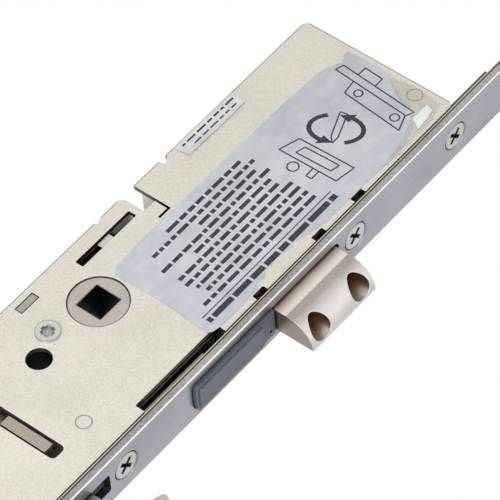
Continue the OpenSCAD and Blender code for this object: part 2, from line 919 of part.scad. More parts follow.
// Slide behind the latch head, with a spring pocket and a rack on its tail
module latch_carriage() {
    low = latch_low + carriage_margin;
    high = latch_high - carriage_margin;
    root = latch_rack_z + tooth_root;
    color(dark_steel)
        difference() {
            union() {
                block([-carriage_in, -carriage_half, low], [-latch_head_in, carriage_half, high]);
                plate(tail_near, carriage_half)
                    union() {
                        translate([tail_back, root])
                            square([tail_l, tail_top - root]);
                        translate([-carriage_in, root])
                            square([tail_back + tail_l + carriage_in, low - root + cut]);
                        translate([spindle_x + latch_lead - tooth_pitch / 2, latch_rack_z])
                            rotate(-90)
                                rack_teeth(0, 4);
                    }
            }
            bar_x(-carriage_in - cut, -carriage_in + pocket_l, latch_z, pocket_d);
            for (z = latch_bore_heights)
                bar_x(-latch_head_in - latch_screw_l - cut, 0, z, latch_screw_d + 2 * fit_gap);
        }
}

// Round wire wound along Z from the origin, with straight ends
rings = 8;
sides = 6;
function wire_path(length, d, wire, turns) =
    let (
        r = (d - wire) / 2,
        steps = rings * turns,
        rise = length - 2 * wire
    )
    concat(
        [[r, 0, 0]],
        [for (i = [0:steps]) [r * cos(i * 360 / rings), r * sin(i * 360 / rings), wire + rise * i / steps]],
        [[r, 0, length]]
    );
function path_gap(path, wire) =
    min([for (i = [0:len(path) - 1]) for (j = [i + rings / 2:len(path) - 1]) norm(path[i] - path[j])]) - wire;
module wound_wire(length, d, wire, turns) {
    path = wire_path(length, d, wire, turns);
    last = len(path) - 1;
    points = [for (i = [0:last])
        let (
            ahead = unit(path[min(i + 1, last)] - path[max(i - 1, 0)]),
            radial = unit([path[i][0], path[i][1], 0]),
            across = unit(radial - ahead * (radial * ahead)),
            beside = cross(ahead, across)
        )
        for (k = [0:sides - 1])
            let (a = k * 360 / sides)
            path[i] + wire / 2 * (across * cos(a) + beside * sin(a))];
    tube = [for (i = [0:last - 1]) for (k = [0:sides - 1])
        let (
            a = i * sides + k,
            b = i * sides + (k + 1) % sides
        )
        each [[a, a + sides, b], [b, a + sides, b + sides]]];
    start = [for (k = [1:sides - 2]) [0, k, k + 1]];
    end = [for (k = [1:sides - 2]) [last * sides, last * sides + k + 1, last * sides + k]];
    polyhedron(points = points, faces = concat(tube, start, end));
}
latch_spring_l = -carriage_in + pocket_l - wall_face;
latch_path = wire_path(latch_spring_l, latch_spring_d, latch_wire, latch_turns);
return_path = wire_path(return_spring_l, return_spring_d, return_wire, return_turns);
echo(latch_spring_gap = path_gap(latch_path, latch_wire));
echo(return_spring_gap = path_gap(return_path, return_wire));

module latch_spring() {
    color(stainless)
        translate([wall_face, 0, latch_z])
            rotate([0, 90, 0])
                wound_wire(latch_spring_l, latch_spring_d, latch_wire, latch_turns);
}

module return_spring() {
    color(stainless)
        translate([return_spring_x, return_spring_y, slide_low - return_spring_l])
            wound_wire(return_spring_l, return_spring_d, return_wire, return_turns);
}

// Near half of the split follower, with the drive and return teeth
module near_follower() {
    color(nickel)
        difference() {
            union() {
                bar_y(spindle_x, 0, follower_d, -half_t + follower_sink, -follower_split);
                plate(slide_near, gear_far)
                    translate([spindle_x, 0]) {
                        gear_sector(drive_teeth, 0, -5, 1);
                        gear_sector(return_teeth, 180, -2, 1);
                        circle(r = return_r - tooth_root);
                    }
            }
            spindle_hole();
        }
}

// Far half of the split follower, with the teeth that draw the latch
module far_follower() {
    color(nickel)
        difference() {
            union() {
                bar_y(spindle_x, 0, follower_d, follower_split, half_t - follower_sink);
                plate(tail_near, carriage_half)
                    translate([spindle_x, 0])
                        gear_sector(latch_teeth, latch_phase, -3, 0);
                bar_y(spindle_x, 0, follower_d + 2, tail_near, inner_y - layer_gap);
            }
            spindle_hole();
        }
}
module spindle_hole() {
    side = spindle_square + square_play;
    translate([spindle_x, 0, 0])
        cube([side, 2 * case_t, side], center = true);
}

// Slide that the near follower works, with the racks, the notches and the tabs for the rails
module drive_slide() {
    tab_h = 6;
    rack_top = 1.5 * tooth_pitch;
    rack_low = -drive_stroke - 2 * tooth_pitch;
    lower_top = idler_z + 1.2 * tooth_pitch;
    lower_low = idler_z - drive_stroke - 1.2 * tooth_pitch;
    color(dark_steel)
        difference() {
            union() {
                plate(slide_near, slide_far)
                    union() {
                        translate([strip_back, strip_down])
                            square([strip_w, strip_up - strip_down]);
                        for (z = joint_heights)
                            translate([strip_front - cut, z - tab_h / 2])
                                square([rail_front - strip_front + cut, tab_h]);
                        lock_rib();
                    }
                plate(slide_near, gear_far) {
                    translate([drive_line + tooth_root, rack_low])
                        square([strip_front - drive_line - tooth_root, rack_top - rack_low]);
                    intersection() {
                        translate([drive_line, 0])
                            rotate(180)
                                rack_teeth(-2, 5);
                        translate([drive_line - 2 * tooth_tip, rack_low])
                            square([strip_w + tooth_root, rack_top - rack_low]);
                    }
                }
                plate(slide_near, gear_far) {
                    translate([lower_line + tooth_root, lower_low])
                        square([rack_body, lower_top - lower_low]);
                    intersection() {
                        translate([lower_line, idler_z])
                            rotate(180)
                                rack_teeth(-1, 4);
                        translate([lower_line - 2 * tooth_tip, lower_low])
                            square([strip_w, lower_top - lower_low]);
                    }
                }
            }
            for (z = joint_heights)
                bar_y(rail_mid, z, rail_rivet_d + 2 * fit_gap, slide_near - cut, slide_far + cut);
        }
}
// Rib that the locking bar blocks at either end of the stroke
module lock_rib() {
    out = lock_lug_front - 0.9;
    top = lock_z - lock_lug_h / 2 - finger_l - lock_play;
    translate([-out, top - lock_rib_h])
        square([out + strip_back + cut, lock_rib_h]);
}

// Rails that carry the drive to the rest of the strip
module upper_rail() {
    screw = case_screw_heights[0];
    window = [screw - drive_stroke - rail_window_w / 2, screw + rail_window_w / 2];
    color(dark_steel)
        rail(strip_up - rail_lap, upper_rail_end, [window], [joint_heights[0]], upper_rail_end - 5);
}
module lower_rail() {
    top = case_screw_heights[2] + rail_window_w / 2;
    bottom = cylinder_z - cylinder_screw_drop - drive_stroke - rail_window_w / 2;
    color(dark_steel)
        rail(lower_rail_end, lower_rail_top, [[bottom, top]], [joint_heights[1], joint_heights[2]], undef);
}
module rail(low, high, windows, rivets, hole) {
    difference() {
        block([rail_back, rail_near, low], [rail_front, rail_far, high]);
        for (w = windows)
            block([rail_back - cut, -rail_window_w / 2, w[0]], [rail_front + cut, rail_window_w / 2, w[1]]);
        for (z = rivets)
            bar_y(rail_mid, z, rail_rivet_d + 2 * fit_gap, rail_near - cut, rail_near + rivet_in + 0.1);
        if (!is_undef(hole))
            bar_x(rail_back - cut, rail_front + cut, hole, 4);
    }
}

module rail_rivets() {
    color(nickel)
        for (z = joint_heights)
            bar_y(rail_mid, z, rail_rivet_d, slide_near, rail_near + rivet_in);
}

// Slide behind the follower, with the lug that shows in the long slot
module return_slide() {
    root = return_line - tooth_root;
    back = wall_face + layer_gap;
    lug_near = -half_t + 0.7;
    color(stainless)
        union() {
            plate(slide_near, gear_far) {
                translate([back, slide_low])
                    square([root - back, slide_l]);
                translate([return_line, 0])
                    rack_teeth(-2, 2);
            }
            block([back + 0.3, lug_near, lug_z - lug_l / 2], [root, slide_near + cut, lug_z + lug_l / 2]);
        }
}

module idler_gear() {
    color(nickel)
        difference() {
            plate(gear_near, gear_far)
                translate([idler_x, idler_z])
                    gear(idler_teeth, 0);
            bar_y(idler_x, idler_z, idler_pin_d + 2 * pin_play, gear_near - cut, gear_far + cut);
        }
}

// Hook bolt in its thrown place
module hook() {
    nose_top = throat_z + nose_h;
    heel_z = hook_pivot_z - hook_hub_r;
    hub_back = hook_pivot_x - hook_hub_r;
    hub_corner = hook_hub_r - 0.3;
    color(nickel)
        difference() {
            plate(-hook_half, hook_half)
                polygon(rounded([
                    [hub_back, hook_pivot_z + hook_hub_r, hub_corner],
                    [hook_pivot_x + 4, throat_z, 2],
                    [hook_reach - 9, throat_z, 2.2],
                    [hook_reach - 5.4, nose_top, 1.2],
                    [hook_reach - 1.2, nose_top - 2.2, 2],
                    [hook_reach, throat_z + 3.4, 3],
                    [hook_reach - 6, throat_z - 4.6, 5],
                    [hook_pivot_x + 12, heel_z + 2.2, 8],
                    [hub_back, heel_z, hub_corner]
                ]));
            bar_y(hook_pivot_x, hook_pivot_z, hook_pivot_d + 2 * pin_play, -hook_half - cut, hook_half + cut);
        }
}

// Toothed plate fixed to the hook's near side
module hook_pinion() {
    color(nickel)
        difference() {
            plate(gear_near, -hook_half)
                translate([hook_pivot_x, hook_pivot_z]) {
                    gear_sector(hook_teeth, hook_phase, -1, 4);
                    circle(r = hook_r - tooth_root - 0.3);
                }
            bar_y(hook_pivot_x, hook_pivot_z, hook_pivot_d + 2 * pin_play, gear_near - cut, cut);
        }
}

// Key worked bar with a finger that moves over the drive slide's rib
module locking_bar() {
    bar_h = lock_lug_h + 1.6;
    front = -lock_lug_front;
    back = wall_face + 2.2;
    tail_w = 4.5;
    foot_z = cylinder_z + 12;
    color(steel)
        union() {
            plate(gear_near, gear_far) {
                translate([back, lock_z - bar_h / 2])
                    square([front - back, bar_h]);
                translate([back, foot_z])
                    square([tail_w, lock_z - foot_z]);
                translate([back, foot_z])
                    square([tail_w + 4, 5]);
            }
            plate(-half_t + 0.5, gear_near + 0.5)
                slot(front - lock_lug_l, front, lock_z - lock_lug_h / 2, lock_z + lock_lug_h / 2, 0.3);
            plate(slide_near, slide_far)
                translate([front - finger_w, lock_z - lock_lug_h / 2 - finger_l])
                    square([finger_w, finger_l + cut]);
        }
}

// Sizes run from the front of the faceplate, and the origin lies on its seat, at the back
module seated() {
    translate([faceplate_t, 0, 0])
        children();
}

seated() faceplate();
seated() case_base();
seated() case_cover();
seated() case_wall();
seated() star_posts();
seated() handle_bush();
seated() screw_blocks();
seated() pillar_rivets();
seated() faceplate_screws();
seated() case_screws();
seated() latch_insert();
seated() hook_pivot();
seated() idler_pin();
seated() instruction_label();
seated() inspection_label();
seated() latch_head();
seated() latch_screws();
seated() latch_carriage();
seated() latch_spring();
seated() far_follower();
seated() drive_slide();
seated() upper_rail();
seated() lower_rail();
seated() rail_rivets();
seated() near_follower();
seated() return_slide();
seated() return_spring();
seated() idler_gear();
seated() hook();
seated() hook_pinion();
seated() locking_bar();
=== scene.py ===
"""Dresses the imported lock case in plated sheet, stainless, nickel, moulded plastic and printed films."""

import json
import math
import random

import bpy
from mathutils import Matrix, Vector, noise
from mathutils.geometry import delaunay_2d_cdt


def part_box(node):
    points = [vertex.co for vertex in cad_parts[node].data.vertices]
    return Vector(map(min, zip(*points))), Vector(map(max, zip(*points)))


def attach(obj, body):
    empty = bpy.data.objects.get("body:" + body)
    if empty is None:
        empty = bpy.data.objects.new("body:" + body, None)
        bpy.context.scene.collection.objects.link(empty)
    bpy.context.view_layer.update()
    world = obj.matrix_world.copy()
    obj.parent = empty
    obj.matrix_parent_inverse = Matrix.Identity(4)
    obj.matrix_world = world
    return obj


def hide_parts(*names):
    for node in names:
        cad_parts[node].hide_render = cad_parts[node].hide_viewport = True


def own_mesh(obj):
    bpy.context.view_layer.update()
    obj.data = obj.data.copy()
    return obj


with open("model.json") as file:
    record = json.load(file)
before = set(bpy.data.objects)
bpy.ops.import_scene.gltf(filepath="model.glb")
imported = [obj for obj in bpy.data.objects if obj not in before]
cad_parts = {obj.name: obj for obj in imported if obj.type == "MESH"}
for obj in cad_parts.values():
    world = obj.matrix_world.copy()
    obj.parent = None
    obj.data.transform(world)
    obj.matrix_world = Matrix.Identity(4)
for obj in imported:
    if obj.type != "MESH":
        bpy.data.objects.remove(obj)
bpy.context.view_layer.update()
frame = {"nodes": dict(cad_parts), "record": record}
nodes = frame["nodes"]

MM = 0.001

# Camera of the photograph: place, lens and sensor in millimetres, turn in degrees, reach in metres
CAMERA_PLACE = (467.71, -850.44, -465.58)
CAMERA_TURN = (126.348, -39.240, 4.697)
CAMERA_LENS = 310.26
CAMERA_SENSOR = 36.0
CAMERA_REACH = 100.0

# Soft lamps: place in metres, width in metres, power in watts
LAMPS = {
    "key": ((0.12, -0.38, -0.46), 0.4, 2.6),
    "front": ((1.25, -0.35, -0.1), 1.0, 2.2),
    "back": ((-0.7, 1.2, 0.7), 1.2, 8.0),
}

# Height and width of the floor in metres, the share of it that glows, and the world's strength as a light
FLOOR_Z = -0.6
FLOOR_SIZE = 6.0
FLOOR_GLOW = 0.85
AMBIENT = 0.48

# Shade near other pieces, and in a piece's own slots: reach in millimetres, openness where it is full, and
# openness where it ends
NEAR_SHADE = (7.0, 0.25, 0.8)
OWN_SHADE = (14.0, 0.86, 0.99)
SHADE_SAMPLES = 8
# Colour of the painted shade in recesses and in gaps next to other pieces
RECESS_SHADE = (20, 18, 16)

# Rounded edges: radius in millimetres, and cosines of the turn at which the tone painted on an edge, as a
# highlight with wear or as shade, starts and is full
EDGE_ROUND = 0.2
EDGE_TURN = (0.99, 0.85)
EDGE_SAMPLES = 6

# Noise: its middle, how far two tones lie from that, and the values between which roughness follows it
NOISE_MIDDLE = 0.5
NOISE_SPREAD = 0.16
NOISE_RANGE = (0.3, 0.7)

# Where a mix node has its factor and its two colours among its inputs, and its colour among its outputs
MIX_INPUTS = (0, 6, 7)
MIX_OUTPUT = 2

# Front and long edge of the faceplate, corners of the case plates and tip of the latch, from the frame
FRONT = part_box("faceplate")[1].x
FACE_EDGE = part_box("faceplate")[1].y
PLATE_LOW, PLATE_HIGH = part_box("case_cover")
LATCH_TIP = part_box("latch_head")[1].x

# Distances from the outline of a plate between which the painted shading of its cut edge fades, in
# millimetres
CUT_SHADING_BAND = (0.12, 0.36)

# How far a surface faces sideways where the painted shading of a plate's cut side turns into its face
CUT_TURN = (0.3, 0.6)

# How far a surface faces up or down where the band of the latch turns into the painted shade of its ends
END_TURN = (0.6, 0.9)

# Distances from the faceplate's long edge where its front turns into the painted highlight of the rolled
# edge, and that into the side, in millimetres
ROLL_START = (0.62, 0.54)
ROLL_END = (0.34, 0.26)

# Heights over the faceplate's back where the seam on its side turns into painted shadow, and where it ends,
# in millimetres
SEAM_DARK = (0.26, 0.34)
SEAM_END = (0.66, 0.76)

# Depth in which the bright face of a follower turns into the painted shade of its flanks, in millimetres
FACE_FADE = 0.3


def linear(colour):
    """Linear colour of a screen colour, whose red, green and blue go from 0 to 255."""
    shares = [value / 255 for value in colour]
    return [s / 12.92 if s <= 0.04045 else ((s + 0.055) / 1.055) ** 2.4 for s in shares] + [1.0]


def feed(tree, socket, value):
    """Gives a socket a value of its own or the output of another node."""
    if isinstance(value, bpy.types.NodeSocket):
        tree.links.new(value, socket)
    else:
        socket.default_value = value


def worked_out(tree, operation, *values):
    """A number that one operation makes of numbers and outputs of other nodes."""
    node = tree.nodes.new("ShaderNodeMath")
    node.operation = operation
    for socket, value in zip(node.inputs, values):
        feed(tree, socket, value)
    return node.outputs["Value"]


def scaled(tree, value, start, end, low=0.0, high=1.0):
    """A number that goes from low to high, and no further, while a value goes from start to end."""
    node = tree.nodes.new("ShaderNodeMapRange")
    for socket, number in zip(("From Min", "From Max", "To Min", "To Max"), (start, end, low, high)):
        node.inputs[socket].default_value = number
    tree.links.new(value, node.inputs["Value"])
    return node.outputs["Result"]


def seen_share(tree):
    """1 for what the eye, a reflection or a clear piece shows, and 0 for what gives light."""
    path = tree.nodes.new("ShaderNodeLightPath")
    seen = path.outputs["Is Camera Ray"]
    for name in ("Is Glossy Ray", "Is Transmission Ray"):
        seen = worked_out(tree, "MAXIMUM", seen, path.outputs[name])
    return seen


class Look:
    """A procedural material with patterns in object space, sizes in millimetres and screen colours."""

    def __init__(self, name, **constants):
        self.material = bpy.data.materials.new(name)
        self.material.use_nodes = True
        self.tree = self.material.node_tree
        self.shader = self.tree.nodes["Principled BSDF"]
        self.place = self.tree.nodes.new("ShaderNodeTexCoord").outputs["Object"]
        for socket, value in constants.items():
            self.shader.inputs[socket.replace("_", " ")].default_value = value

    def join(self, output, socket):
        """Links the output of one node to a socket of another."""
        self.tree.links.new(output, socket)

    def grain(self, size, stretch=(1, 1, 1), detail=3.0):
        """Noise with features of a size, drawn out along an axis by a factor above 1."""
        mapping = self.tree.nodes.new("ShaderNodeMapping")
        mapping.inputs["Scale"].default_value = [1 / (size * MM * s) for s in stretch]
        texture = self.tree.nodes.new("ShaderNodeTexNoise")
        texture.inputs["Scale"].default_value = 1.0
        texture.inputs["Detail"].default_value = detail
        self.join(self.place, mapping.inputs["Vector"])
        self.join(mapping.outputs["Vector"], texture.inputs["Vector"])
        return texture.outputs["Fac"]

    def ramp(self, factor, *stops):
        """Colours between (position, linear colour) stops."""
        node = self.tree.nodes.new("ShaderNodeValToRGB")
        elements = node.color_ramp.elements
        while len(elements) < len(stops):
            elements.new(0.5)
        for element, (position, colour) in zip(elements, stops):
            element.position = position
            element.color = colour
        self.join(factor, node.inputs["Fac"])
        return node.outputs["Color"]

    def tones(self, pattern, dark, light, spread=NOISE_SPREAD):
        """Two colours over the middle of a noise."""
        low = NOISE_MIDDLE - spread
        high = NOISE_MIDDLE + spread
        return self.ramp(pattern, (low, linear(dark)), (high, linear(light)))

    def marks(self, pattern, start, end, amount=1.0):
        """A share that rises from 0 to an amount between two values of a pattern."""
        return self.ramp(pattern, (start, (0, 0, 0, 1)), (end, (amount, amount, amount, 1)))

    def mix(self, first, second, share, mode="MIX"):
        """Two colours or patterns mixed by a share, which is a number or a pattern."""
        node = self.tree.nodes.new("ShaderNodeMix")
        node.data_type = "RGBA"
        node.blend_type = mode
        for index, value in zip(MIX_INPUTS, (share, first, second)):
            feed(self.tree, node.inputs[index], linear(value) if isinstance(value, tuple) else value)
        return node.outputs[MIX_OUTPUT]

    def fade(self, value, start, end):
        """A share that rises from 0 to 1 between two values."""
        return scaled(self.tree, value, start, end)

    def rounded(self, radius):
        """Surface direction with the edges rounded to a radius."""
        node = self.tree.nodes.new("ShaderNodeBevel")
        node.samples = EDGE_SAMPLES
        node.inputs["Radius"].default_value = radius * MM
        return node.outputs["Normal"]

    def direction(self):
        """Surface direction as the mesh has it."""
        return self.tree.nodes.new("ShaderNodeNewGeometry").outputs["Normal"]

    def relief(self, height, depth):
        """Bump of a depth over rounded edges."""
        node = self.tree.nodes.new("ShaderNodeBump")
        node.inputs["Strength"].default_value = 1.0
        node.inputs["Distance"].default_value = depth * MM
        self.join(height, node.inputs["Height"])
        self.join(self.rounded(EDGE_ROUND), node.inputs["Normal"])
        self.join(node.outputs["Normal"], self.shader.inputs["Normal"])

    def edges(self, radius, amount):
        """A share that is the amount along the edges and 0 on the faces."""
        turn = self.tree.nodes.new("ShaderNodeVectorMath")
        turn.operation = "DOT_PRODUCT"
        self.join(self.rounded(radius), turn.inputs[0])
        self.join(self.direction(), turn.inputs[1])
        return scaled(self.tree, turn.outputs["Value"], *EDGE_TURN, high=amount)

    def part_along(self, vector, axis):
        """The part of a vector that lies along an axis."""
        split = self.tree.nodes.new("ShaderNodeSeparateXYZ")
        self.join(vector, split.inputs["Vector"])
        return split.outputs[axis]

    def position(self, axis):
        """Place along an axis."""
        return worked_out(self.tree, "DIVIDE", self.part_along(self.place, axis), MM)

    def side_distance(self):
        """Distance from the middle plane of the case."""
        return worked_out(self.tree, "ABSOLUTE", self.position("Y"))

    def facing(self, axis):
        """How far the surface of a piece that doesn't turn faces along an axis, either way, from 0 to 1."""
        return worked_out(self.tree, "ABSOLUTE", self.part_along(self.direction(), axis))

    def paint(self, colour, recess_shading=None, own=False):
        """The surface's colour, with another painted in recesses as their shading, or only in the recesses of
        the piece itself.
        """
        if recess_shading is not None:
            node = self.tree.nodes.new("ShaderNodeAmbientOcclusion")
            node.samples = SHADE_SAMPLES
            node.only_local = own
            reach, shut, clear = OWN_SHADE if own else NEAR_SHADE
            node.inputs["Distance"].default_value = reach * MM
            colour = self.mix(recess_shading, colour, self.marks(node.outputs["AO"], shut, clear))
        self.join(colour, self.shader.inputs["Base Color"])

    def polish(self, pattern, low, high):
        """Roughness that follows a noise between two values."""
        self.join(scaled(self.tree, pattern, *NOISE_RANGE, low, high), self.shader.inputs["Roughness"])

    def glow(self, colour, share):
        """A share of plain colour that is seen and gives no light."""
        light = self.tree.nodes.new("ShaderNodeEmission")
        self.join(colour, light.inputs["Color"])
        both = self.tree.nodes.new("ShaderNodeMixShader")
        self.join(worked_out(self.tree, "MULTIPLY", seen_share(self.tree), share), both.inputs["Fac"])
        self.join(self.shader.outputs["BSDF"], both.inputs[1])
        self.join(light.outputs["Emission"], both.inputs[2])
        self.join(both.outputs["Shader"], self.tree.nodes["Material Output"].inputs["Surface"])


def sheet_metal(
    name, dark, light, roughness, metallic,
    own=False, rim=(242, 240, 233), rim_width=0.25, rim_share=0.6, recess_shading=RECESS_SHADE, cut=None,
):
    """Plated sheet with speckle, clouds and scuffs along the case, painted edge tones on its rims, and
    painted shading on its cut sides and along its back and top outlines.
    """
    look = Look(name, Metallic=metallic)
    speckle = look.grain(0.35)
    clouds = look.grain(14, detail=4.0)
    scuffs = look.grain(0.5, stretch=(1, 1, 26), detail=2.0)
    colour = look.tones(look.mix(speckle, clouds, share=0.3), dark, light, spread=0.14)
    colour = look.mix(colour, (238, 236, 228), look.marks(scuffs, 0.68, 0.74, amount=0.3))
    # Rims along the edges: the pale default is a painted highlight with wear
    colour = look.mix(colour, rim, look.edges(rim_width, rim_share))
    # Cut sides, and the plate's back and top outlines, painted in the cut tone as their shading: dark as
    # shade, pale as light
    if cut is not None:
        outer, inner = CUT_SHADING_BAND
        back = PLATE_LOW.x / MM
        top = PLATE_HIGH.z / MM
        colour = look.mix(cut, colour, look.fade(look.facing("Y"), *CUT_TURN))
        colour = look.mix(cut, colour, look.fade(look.position("X"), back + outer, back + inner))
        colour = look.mix(cut, colour, look.fade(look.position("Z"), top - outer, top - inner))
    look.paint(colour, recess_shading, own)
    look.polish(clouds, roughness - 0.07, roughness + 0.07)
    look.relief(speckle, depth=0.012)
    return look.material


def brushed_metal(name, dark, light, roughness, run):
    """Metal brushed along an axis, with fine lines and a few bright scratches."""
    look = Look(name, Metallic=1.0)
    lines = look.grain(0.22, stretch=[40 if axis == run else 1 for axis in "xyz"], detail=4.0)
    clouds = look.grain(18)
    scratches = look.grain(0.3, stretch=[70 if axis == run else 1 for axis in "xyz"], detail=1.0)
    colour = look.tones(look.mix(lines, clouds, share=0.4), dark, light)
    colour = look.mix(colour, (232, 232, 236), look.marks(scratches, 0.72, 0.78, amount=0.35))
    # Edges painted in the light tone as a highlight with wear
    look.paint(look.mix(colour, light, look.edges(radius=0.25, amount=0.8)), RECESS_SHADE)
    look.polish(lines, roughness - 0.08, roughness + 0.1)
    look.relief(lines, depth=0.008)
    return look.material


def faceplate_metal(name):
    """Stainless strip: brushed front, rolled edges painted with a bright highlight, and a sheared, speckled
    side with a painted shadow line at its seam.
    """
    look = Look(name, Metallic=1.0)
    lines = look.grain(0.22, stretch=(1, 1, 40), detail=4.0)
    clouds = look.grain(22)
    speckle = look.grain(0.45, detail=2.0)
    front = look.tones(look.mix(lines, clouds, share=0.5), (148, 148, 155), (176, 175, 183))
    side = look.tones(look.mix(speckle, clouds, share=0.4), (142, 138, 133), (188, 183, 177), spread=0.12)
    edge = FACE_EDGE / MM
    distance = look.side_distance()
    height = look.position("X")
    # Seam: a pale line, then a painted shadow line of the gap to the case, then the side
    seam = look.mix((206, 202, 190), (58, 55, 51), look.fade(height, *SEAM_DARK))
    side = look.mix(seam, side, look.fade(height, *SEAM_END))
    # Rolled edges: a painted highlight between the front and the side
    colour = look.mix(front, (244, 243, 244), look.fade(distance, *[edge - inset for inset in ROLL_START]))
    colour = look.mix(colour, side, look.fade(distance, *[edge - inset for inset in ROLL_END]))
    look.paint(colour, RECESS_SHADE)
    look.polish(lines, 0.28, 0.44)
    look.relief(lines, depth=0.008)
    return look.material


def follower_metal(name, dark, light, face_start=6.7, rim=(48, 45, 42)):
    """Bright outer face, from a distance off the middle plane, over flanks painted near black as shade."""
    look = Look(name, Metallic=1.0)
    pits = look.grain(0.25, detail=2.0)
    clouds = look.grain(5)
    face = look.tones(look.mix(pits, clouds, share=0.5), dark, light)
    # Rim along the edges: the dark default is painted shade of the gap round a follower, a pale rim a painted
    # highlight with wear
    face = look.mix(face, rim, look.edges(radius=0.6, amount=0.9))
    flank_shade = look.tones(clouds, (12, 11, 10), (24, 22, 20), spread=0.2)
    # Flanks painted near black as shade, up to the bright face
    look.paint(look.mix(flank_shade, face, look.fade(look.side_distance(), face_start, face_start + FACE_FADE)))
    look.polish(clouds, 0.34, 0.48)
    look.relief(pits, depth=0.015)
    return look.material


def cast_metal(
    name, dark, light, roughness,
    grain=0.25, recess_shading=RECESS_SHADE, own=False, rim=(236, 232, 228), rim_width=0.3,
):
    """Sintered or cast metal with a fine pitted grain under its plating."""
    look = Look(name, Metallic=1.0)
    pits = look.grain(grain, detail=2.0)
    clouds = look.grain(7)
    colour = look.tones(look.mix(pits, clouds, share=0.5), dark, light)
    # Rims along the edges: the pale default is a painted highlight with wear
    look.paint(look.mix(colour, rim, look.edges(rim_width, amount=0.7)), recess_shading, own)
    look.polish(clouds, roughness - 0.06, roughness + 0.08)
    look.relief(pits, depth=0.02)
    return look.material


def latch_metal(name):
    """Sintered nickel with light and shade painted along it: a warm sheen on the flat, shade at the bottom of
    the ramp and on the ends, a highlight on the top of the ramp, less at the tip.
    """
    look = Look(name, Metallic=1.0)
    pits = look.grain(0.3, detail=2.0)
    clouds = look.grain(7)
    # Painted light and shade along the latch: sheen on the flat, shade at the bottom of the ramp, highlight
    # on its top, less at the tip
    flat = linear((244, 233, 223))
    foot_shade = linear((182, 172, 164))
    crown_highlight = linear((232, 226, 223))
    tip = linear((214, 208, 203))
    colour = look.ramp(
        look.fade(look.position("X"), FRONT / MM, LATCH_TIP / MM),
        (0.0, flat), (0.315, flat), (0.335, foot_shade), (0.49, foot_shade), (0.74, crown_highlight), (0.9, crown_highlight), (0.985, tip),
    )
    # Ends, which face up or down, painted darker as their shade
    colour = look.mix(colour, (165, 157, 148), look.fade(look.facing("Z"), *END_TURN))
    wear = look.tones(look.mix(pits, clouds, share=0.5), (236, 236, 236), (255, 255, 255))
    colour = look.mix(colour, wear, share=1.0, mode="MULTIPLY")
    # Edges painted bright as a highlight with wear; bores painted a warm tone as their shading
    look.paint(look.mix(colour, (240, 236, 232), look.edges(radius=0.3, amount=0.7)), (226, 196, 156))
    look.polish(clouds, 0.3, 0.44)
    look.relief(pits, depth=0.02)
    return look.material


def moulded_plastic(name, dark, light):
    """Satin plastic with a spark textured skin and faint flow marks, a paler painted highlight on its edges
    and painted shade in its recesses.
    """
    look = Look(name, Metallic=0.0)
    skin = look.grain(0.22, detail=2.0)
    flow = look.grain(5, stretch=(1, 1, 3))
    colour = look.tones(look.mix(skin, flow, share=0.6), dark, light)
    # Edges painted paler as a highlight, recesses painted dark as shade
    look.paint(look.mix(colour, (150, 155, 165), look.edges(radius=0.2, amount=0.5)), (30, 32, 38))
    look.polish(skin, 0.42, 0.6)
    look.relief(skin, depth=0.015)
    return look.material


def film(name, dark, light, roughness, alpha=1.0):
    """Thin film with crinkles, paler where it has lifted."""
    look = Look(name, Metallic=0.0, Alpha=alpha, Coat_Weight=0.25, Coat_Roughness=0.18)
    crinkles = look.grain(3.2, stretch=(1, 1, 1.6), detail=4.0)
    lifted = look.grain(11, stretch=(1, 1, 1.8), detail=2.0)
    look.paint(look.tones(look.mix(crinkles, lifted, share=0.6), dark, light, spread=0.11))
    look.polish(lifted, roughness - 0.08, roughness + 0.1)
    look.relief(crinkles, depth=0.05)
    return look.material


def ink(name, dark, light):
    """Printing ink, worn thin in places."""
    look = Look(name, Metallic=0.0)
    wear = look.grain(0.5)
    look.paint(look.ramp(wear, (0.45, linear(dark)), (0.75, linear(light))))
    look.polish(wear, 0.5, 0.7)
    look.relief(wear, depth=0.004)
    return look.material


# The look of each material slot, with its dark and its light tone
MATERIALS = {
    "stainless": faceplate_metal("stainless_strip"),
    "plated_steel": sheet_metal(
        "plated_steel", (216, 212, 199), (238, 233, 221),
        roughness=0.46, metallic=0.42, own=True, cut=(128, 124, 115),
    ),
    "dark_steel": brushed_metal("dark_steel", (98, 92, 86), (126, 120, 112), roughness=0.42, run="z"),
    "nickel": cast_metal("nickel", (186, 180, 171), (206, 200, 192), roughness=0.34),
    "spring_steel": brushed_metal("spring_steel", (150, 150, 154), (190, 190, 194), roughness=0.3, run="z"),
    "grey_plastic": moulded_plastic("grey_plastic", (90, 95, 106), (108, 113, 124)),
    "film": film("film", (199, 198, 208), (219, 218, 225), roughness=0.4),
    "white_film": film("white_film", (220, 218, 219), (236, 235, 235), roughness=0.4),
}
CLEAR_FILM = film("clear_film", (186, 184, 164), (212, 210, 194), roughness=0.3, alpha=0.26)
# Near-white film over the fold: a painted reflection
FOLD_HIGHLIGHT_FILM = film("fold_highlight_film", (232, 242, 242), (252, 253, 253), roughness=0.3)
INK = ink("ink", (34, 34, 40), (84, 83, 91))

